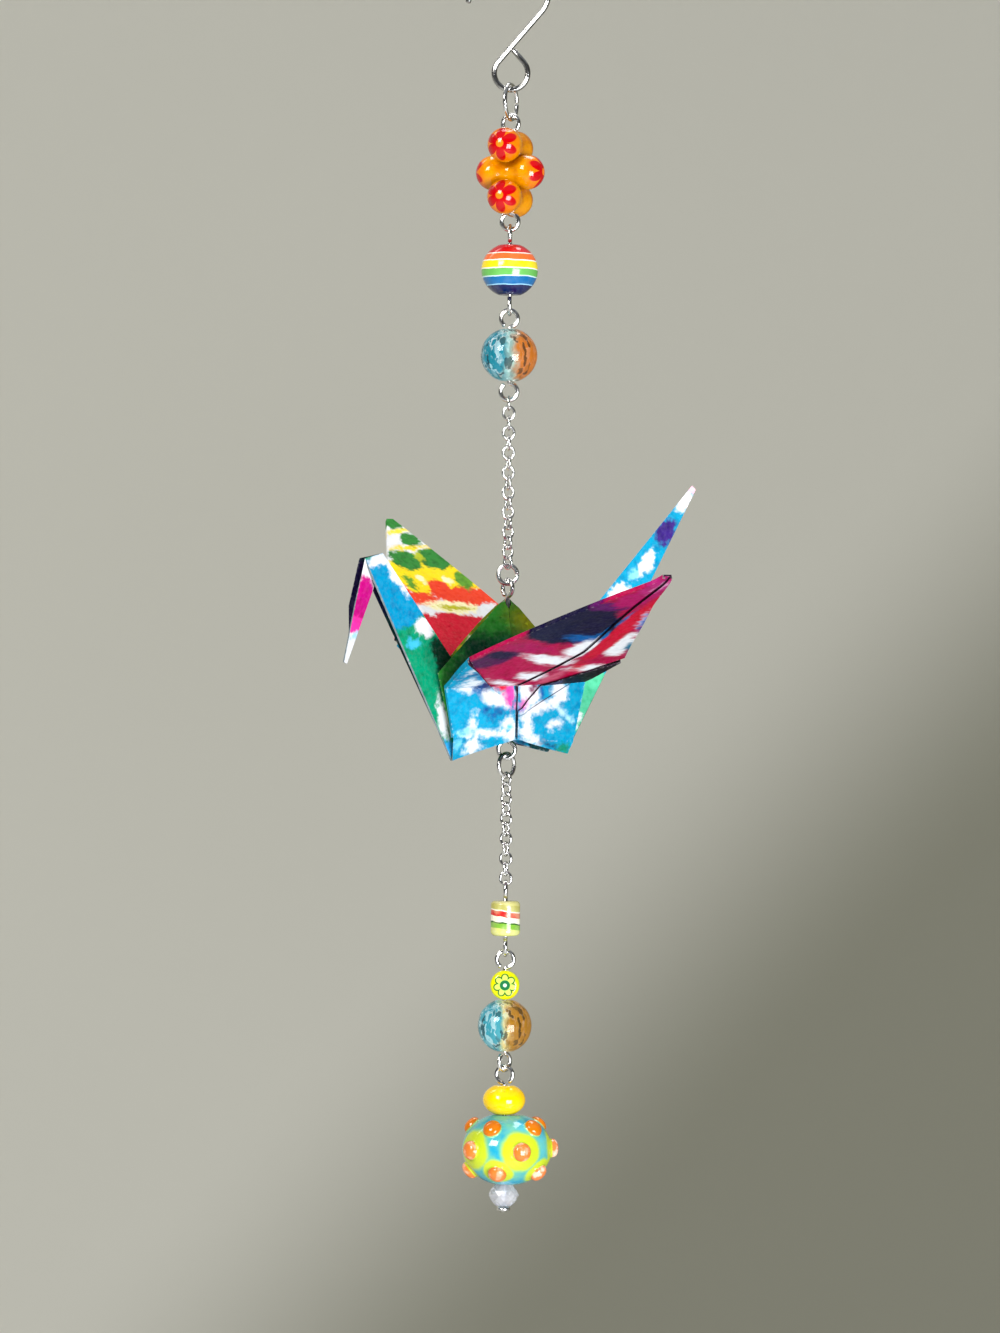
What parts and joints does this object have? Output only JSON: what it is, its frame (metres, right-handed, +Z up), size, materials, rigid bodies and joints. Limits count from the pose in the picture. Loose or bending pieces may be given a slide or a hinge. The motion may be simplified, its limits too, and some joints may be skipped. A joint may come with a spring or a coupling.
{
  "type": "origami crane ornament",
  "caption": "Hanging ornament: a folded paper crane on a string of glass beads, eye pins, jump rings and fine chain under a wire hook.",
  "frame": {"origin": "the point inside the hook's crook that rests on a nail or twig", "axes": "+Z up along the string, +X to the right of someone facing the ornament, +Y away from them"},
  "size_m": [0.0506, 0.0645, 0.1808],
  "materials": {
    "silver_wire": "bright silver-plated wire",
    "folded_paper": "dyed matte paper",
    "amber_glass": "amber glass with red flowers",
    "rainbow_resin": "glossy, banded",
    "crackle_glass": "crackled, two-tone",
    "cane_glass": "glossy, banded",
    "flower_glass": "glossy, with a green flower",
    "yellow_glass": "glossy",
    "lampwork_glass": "glossy, with raised dots",
    "clear_crystal": "clear, cut"
  },
  "bodies": {
    "hook": {"hook": "silver_wire"},
    "top_jump_ring": {"top_jump_ring": "silver_wire"},
    "peanut_pin": {"peanut_pin": "silver_wire"},
    "rainbow_pin": {"rainbow_pin": "silver_wire"},
    "upper_crackle_pin": {"upper_crackle_pin": "silver_wire"},
    "upper_link_01": {"upper_link_01": "silver_wire"},
    "upper_link_02": {"upper_link_02": "silver_wire"},
    "upper_link_03": {"upper_link_03": "silver_wire"},
    "upper_link_04": {"upper_link_04": "silver_wire"},
    "upper_link_05": {"upper_link_05": "silver_wire"},
    "upper_link_06": {"upper_link_06": "silver_wire"},
    "upper_link_07": {"upper_link_07": "silver_wire"},
    "upper_link_08": {"upper_link_08": "silver_wire"},
    "upper_link_09": {"upper_link_09": "silver_wire"},
    "upper_link_10": {"upper_link_10": "silver_wire"},
    "upper_link_11": {"upper_link_11": "silver_wire"},
    "upper_link_12": {"upper_link_12": "silver_wire"},
    "upper_link_13": {"upper_link_13": "silver_wire"},
    "upper_link_14": {"upper_link_14": "silver_wire"},
    "upper_link_15": {"upper_link_15": "silver_wire"},
    "upper_link_16": {"upper_link_16": "silver_wire"},
    "upper_link_17": {"upper_link_17": "silver_wire"},
    "crane_ring": {"crane_ring": "silver_wire"},
    "crane_pin": {"crane_pin": "silver_wire"},
    "lower_ring": {"lower_ring": "silver_wire"},
    "lower_link_01": {"lower_link_01": "silver_wire"},
    "lower_link_02": {"lower_link_02": "silver_wire"},
    "lower_link_03": {"lower_link_03": "silver_wire"},
    "lower_link_04": {"lower_link_04": "silver_wire"},
    "lower_link_05": {"lower_link_05": "silver_wire"},
    "lower_link_06": {"lower_link_06": "silver_wire"},
    "lower_link_07": {"lower_link_07": "silver_wire"},
    "lower_link_08": {"lower_link_08": "silver_wire"},
    "lower_link_09": {"lower_link_09": "silver_wire"},
    "lower_link_10": {"lower_link_10": "silver_wire"},
    "lower_link_11": {"lower_link_11": "silver_wire"},
    "cane_pin": {"cane_pin": "silver_wire"},
    "flower_pin": {"flower_pin": "silver_wire"},
    "head_pin": {"head_pin": "silver_wire"},
    "peanut_beads": {"peanut_bead_top": "amber_glass", "peanut_bead_middle": "amber_glass", "peanut_bead_bottom": "amber_glass"},
    "rainbow_bead": {"rainbow_bead": "rainbow_resin"},
    "upper_crackle_bead": {"upper_crackle_bead": "crackle_glass"},
    "crane": {"crane": "folded_paper"},
    "cane_bead": {"cane_bead": "cane_glass"},
    "flower_bead": {"flower_bead": "flower_glass"},
    "lower_crackle_bead": {"lower_crackle_bead": "crackle_glass"},
    "spacer_bead": {"spacer_bead": "yellow_glass"},
    "lampwork_bead": {"lampwork_bead": "lampwork_glass"},
    "crystal_bead": {"crystal_bead": "clear_crystal"}
  },
  "joints": [
    {"name": "top_jump_ring_swing", "type": "hinge", "parent": "hook", "child": "top_jump_ring", "pos_m": [0, 0, -0.0198], "axis": [1, 0, 0], "range_deg": [-60, 60]},
    {"name": "peanut_pin_swing", "type": "hinge", "parent": "top_jump_ring", "child": "peanut_pin", "pos_m": [0, 0, -0.02405], "axis": [0.342, 0.9397, 0], "range_deg": [-45, 45]},
    {"name": "rainbow_pin_swing", "type": "hinge", "parent": "peanut_pin", "child": "rainbow_pin", "pos_m": [0, 0, -0.03991], "axis": [-1, 0, 0], "range_deg": [-45, 45]},
    {"name": "upper_crackle_pin_swing", "type": "hinge", "parent": "rainbow_pin", "child": "upper_crackle_pin", "pos_m": [0, 0, -0.05192], "axis": [0, -1, 0], "range_deg": [-45, 45]},
    {"name": "crane_ring_swing", "type": "hinge", "parent": "upper_link_17", "child": "crane_ring", "pos_m": [0, 0, -0.08823], "axis": [0.6428, -0.766, 0], "range_deg": [-30, 30]},
    {"name": "crane_pin_swing", "type": "hinge", "parent": "crane_ring", "child": "crane_pin", "pos_m": [0, 0, -0.0904], "axis": [-1, 0, 0], "range_deg": [-40, 40]},
    {"name": "lower_ring_swing", "type": "hinge", "parent": "crane_pin", "child": "lower_ring", "pos_m": [0, 0, -0.11535], "axis": [-1, 0, 0], "range_deg": [-45, 45]},
    {"name": "cane_pin_swing", "type": "hinge", "parent": "lower_link_11", "child": "cane_pin", "pos_m": [0, 0, -0.13343], "axis": [-0.9848, 0.1736, 0], "range_deg": [-45, 45]},
    {"name": "flower_pin_swing", "type": "hinge", "parent": "cane_pin", "child": "flower_pin", "pos_m": [0, 0, -0.14345], "axis": [0, 1, 0], "range_deg": [-45, 45]},
    {"name": "head_pin_swing", "type": "hinge", "parent": "flower_pin", "child": "head_pin", "pos_m": [0, 0, -0.15993], "axis": [0.6428, 0.766, 0], "range_deg": [-45, 45]},
    {"name": "peanut_beads_spin", "type": "hinge", "parent": "peanut_pin", "child": "peanut_beads", "pos_m": [0, 0, -0.03163], "axis": [0, 0, 1], "continuous": true},
    {"name": "rainbow_bead_spin", "type": "hinge", "parent": "rainbow_pin", "child": "rainbow_bead", "pos_m": [0, 0, -0.04556], "axis": [0, 0, 1], "continuous": true},
    {"name": "upper_crackle_bead_spin", "type": "hinge", "parent": "upper_crackle_pin", "child": "upper_crackle_bead", "pos_m": [0, 0, -0.05771], "axis": [0, 0, 1], "continuous": true},
    {"name": "crane_spin", "type": "hinge", "parent": "crane_pin", "child": "crane", "pos_m": [0, 0, -0.09219], "axis": [0, 0, 1], "continuous": true},
    {"name": "cane_bead_spin", "type": "hinge", "parent": "cane_pin", "child": "cane_bead", "pos_m": [0, 0, -0.13815], "axis": [0, 0, 1], "continuous": true},
    {"name": "flower_bead_spin", "type": "hinge", "parent": "flower_pin", "child": "flower_bead", "pos_m": [0, 0, -0.14765], "axis": [0, 0, 1], "continuous": true},
    {"name": "lower_crackle_bead_spin", "type": "hinge", "parent": "flower_pin", "child": "lower_crackle_bead", "pos_m": [0, 0, -0.15348], "axis": [0, 0, 1], "continuous": true},
    {"name": "spacer_bead_spin", "type": "hinge", "parent": "head_pin", "child": "spacer_bead", "pos_m": [0, 0, -0.16408], "axis": [0, 0, 1], "continuous": true},
    {"name": "lampwork_bead_spin", "type": "hinge", "parent": "head_pin", "child": "lampwork_bead", "pos_m": [0, 0, -0.17111], "axis": [0, 0, 1], "continuous": true},
    {"name": "crystal_bead_spin", "type": "hinge", "parent": "head_pin", "child": "crystal_bead", "pos_m": [0, 0, -0.17764], "axis": [0, 0, 1], "continuous": true},
    {"name": "upper_link_01_swing", "type": "hinge", "parent": "upper_crackle_pin", "child": "upper_link_01", "pos_m": [0, 0, -0.06421], "axis": [1, 0, 0], "range_deg": [-45, 45]},
    {"name": "upper_link_02_swing", "type": "hinge", "parent": "upper_link_01", "child": "upper_link_02", "pos_m": [0, 0, -0.06551], "axis": [0, 1, 0], "range_deg": [-45, 45]},
    {"name": "upper_link_03_swing", "type": "hinge", "parent": "upper_link_02", "child": "upper_link_03", "pos_m": [0, 0, -0.06693], "axis": [-0.999, -0.0436, 0], "range_deg": [-45, 45]},
    {"name": "upper_link_04_swing", "type": "hinge", "parent": "upper_link_03", "child": "upper_link_04", "pos_m": [0, 0, -0.06835], "axis": [0.0872, -0.9962, 0], "range_deg": [-45, 45]},
    {"name": "upper_link_05_swing", "type": "hinge", "parent": "upper_link_04", "child": "upper_link_05", "pos_m": [0, 0, -0.06977], "axis": [0.9914, 0.1305, 0], "range_deg": [-45, 45]},
    {"name": "upper_link_06_swing", "type": "hinge", "parent": "upper_link_05", "child": "upper_link_06", "pos_m": [0, 0, -0.07119], "axis": [-0.1736, 0.9848, 0], "range_deg": [-45, 45]},
    {"name": "upper_link_07_swing", "type": "hinge", "parent": "upper_link_06", "child": "upper_link_07", "pos_m": [0, 0, -0.07261], "axis": [-0.9763, -0.2164, 0], "range_deg": [-45, 45]},
    {"name": "upper_link_08_swing", "type": "hinge", "parent": "upper_link_07", "child": "upper_link_08", "pos_m": [0, 0, -0.07403], "axis": [0.2588, -0.9659, 0], "range_deg": [-45, 45]},
    {"name": "upper_link_09_swing", "type": "hinge", "parent": "upper_link_08", "child": "upper_link_09", "pos_m": [0, 0, -0.07545], "axis": [0.9537, 0.3007, 0], "range_deg": [-45, 45]},
    {"name": "upper_link_10_swing", "type": "hinge", "parent": "upper_link_09", "child": "upper_link_10", "pos_m": [0, 0, -0.07687], "axis": [-0.342, 0.9397, 0], "range_deg": [-45, 45]},
    {"name": "upper_link_11_swing", "type": "hinge", "parent": "upper_link_10", "child": "upper_link_11", "pos_m": [0, 0, -0.07829], "axis": [-0.9239, -0.3827, 0], "range_deg": [-45, 45]},
    {"name": "upper_link_12_swing", "type": "hinge", "parent": "upper_link_11", "child": "upper_link_12", "pos_m": [0, 0, -0.07971], "axis": [0.4226, -0.9063, 0], "range_deg": [-45, 45]},
    {"name": "upper_link_13_swing", "type": "hinge", "parent": "upper_link_12", "child": "upper_link_13", "pos_m": [0, 0, -0.08113], "axis": [0.887, 0.4617, 0], "range_deg": [-45, 45]},
    {"name": "upper_link_14_swing", "type": "hinge", "parent": "upper_link_13", "child": "upper_link_14", "pos_m": [0, 0, -0.08255], "axis": [-0.5, 0.866, 0], "range_deg": [-45, 45]},
    {"name": "upper_link_15_swing", "type": "hinge", "parent": "upper_link_14", "child": "upper_link_15", "pos_m": [0, 0, -0.08397], "axis": [-0.8434, -0.5373, 0], "range_deg": [-45, 45]},
    {"name": "upper_link_16_swing", "type": "hinge", "parent": "upper_link_15", "child": "upper_link_16", "pos_m": [0, 0, -0.08539], "axis": [-0.5736, 0.8192, 0], "range_deg": [-45, 45]},
    {"name": "upper_link_17_swing", "type": "hinge", "parent": "upper_link_16", "child": "upper_link_17", "pos_m": [0, 0, -0.08681], "axis": [0.7934, 0.6088, 0], "range_deg": [-45, 45]},
    {"name": "lower_link_01_swing", "type": "hinge", "parent": "lower_ring", "child": "lower_link_01", "pos_m": [0, 0, -0.11793], "axis": [0.6691, 0.7431, 0], "range_deg": [-45, 45]},
    {"name": "lower_link_02_swing", "type": "hinge", "parent": "lower_link_01", "child": "lower_link_02", "pos_m": [0, 0, -0.11923], "axis": [0.7071, -0.7071, 0], "range_deg": [-45, 45]},
    {"name": "lower_link_03_swing", "type": "hinge", "parent": "lower_link_02", "child": "lower_link_03", "pos_m": [0, 0, -0.12065], "axis": [-0.6626, -0.749, 0], "range_deg": [-45, 45]},
    {"name": "lower_link_04_swing", "type": "hinge", "parent": "lower_link_03", "child": "lower_link_04", "pos_m": [0, 0, -0.12207], "axis": [-0.788, 0.6157, 0], "range_deg": [-45, 45]},
    {"name": "lower_link_05_swing", "type": "hinge", "parent": "lower_link_04", "child": "lower_link_05", "pos_m": [0, 0, -0.12349], "axis": [0.5664, 0.8241, 0], "range_deg": [-45, 45]},
    {"name": "lower_link_06_swing", "type": "hinge", "parent": "lower_link_05", "child": "lower_link_06", "pos_m": [0, 0, -0.12491], "axis": [0.8572, -0.515, 0], "range_deg": [-45, 45]},
    {"name": "lower_link_07_swing", "type": "hinge", "parent": "lower_link_06", "child": "lower_link_07", "pos_m": [0, 0, -0.12633], "axis": [-0.4617, -0.887, 0], "range_deg": [-45, 45]},
    {"name": "lower_link_08_swing", "type": "hinge", "parent": "lower_link_07", "child": "lower_link_08", "pos_m": [0, 0, -0.12775], "axis": [-0.9136, 0.4067, 0], "range_deg": [-45, 45]},
    {"name": "lower_link_09_swing", "type": "hinge", "parent": "lower_link_08", "child": "lower_link_09", "pos_m": [0, 0, -0.12917], "axis": [0.3502, 0.9367, 0], "range_deg": [-45, 45]},
    {"name": "lower_link_10_swing", "type": "hinge", "parent": "lower_link_09", "child": "lower_link_10", "pos_m": [0, 0, -0.13059], "axis": [0.9563, -0.2924, 0], "range_deg": [-45, 45]},
    {"name": "lower_link_11_swing", "type": "hinge", "parent": "lower_link_10", "child": "lower_link_11", "pos_m": [0, 0, -0.13201], "axis": [-0.2334, -0.9724, 0], "range_deg": [-45, 45]}
  ]
}
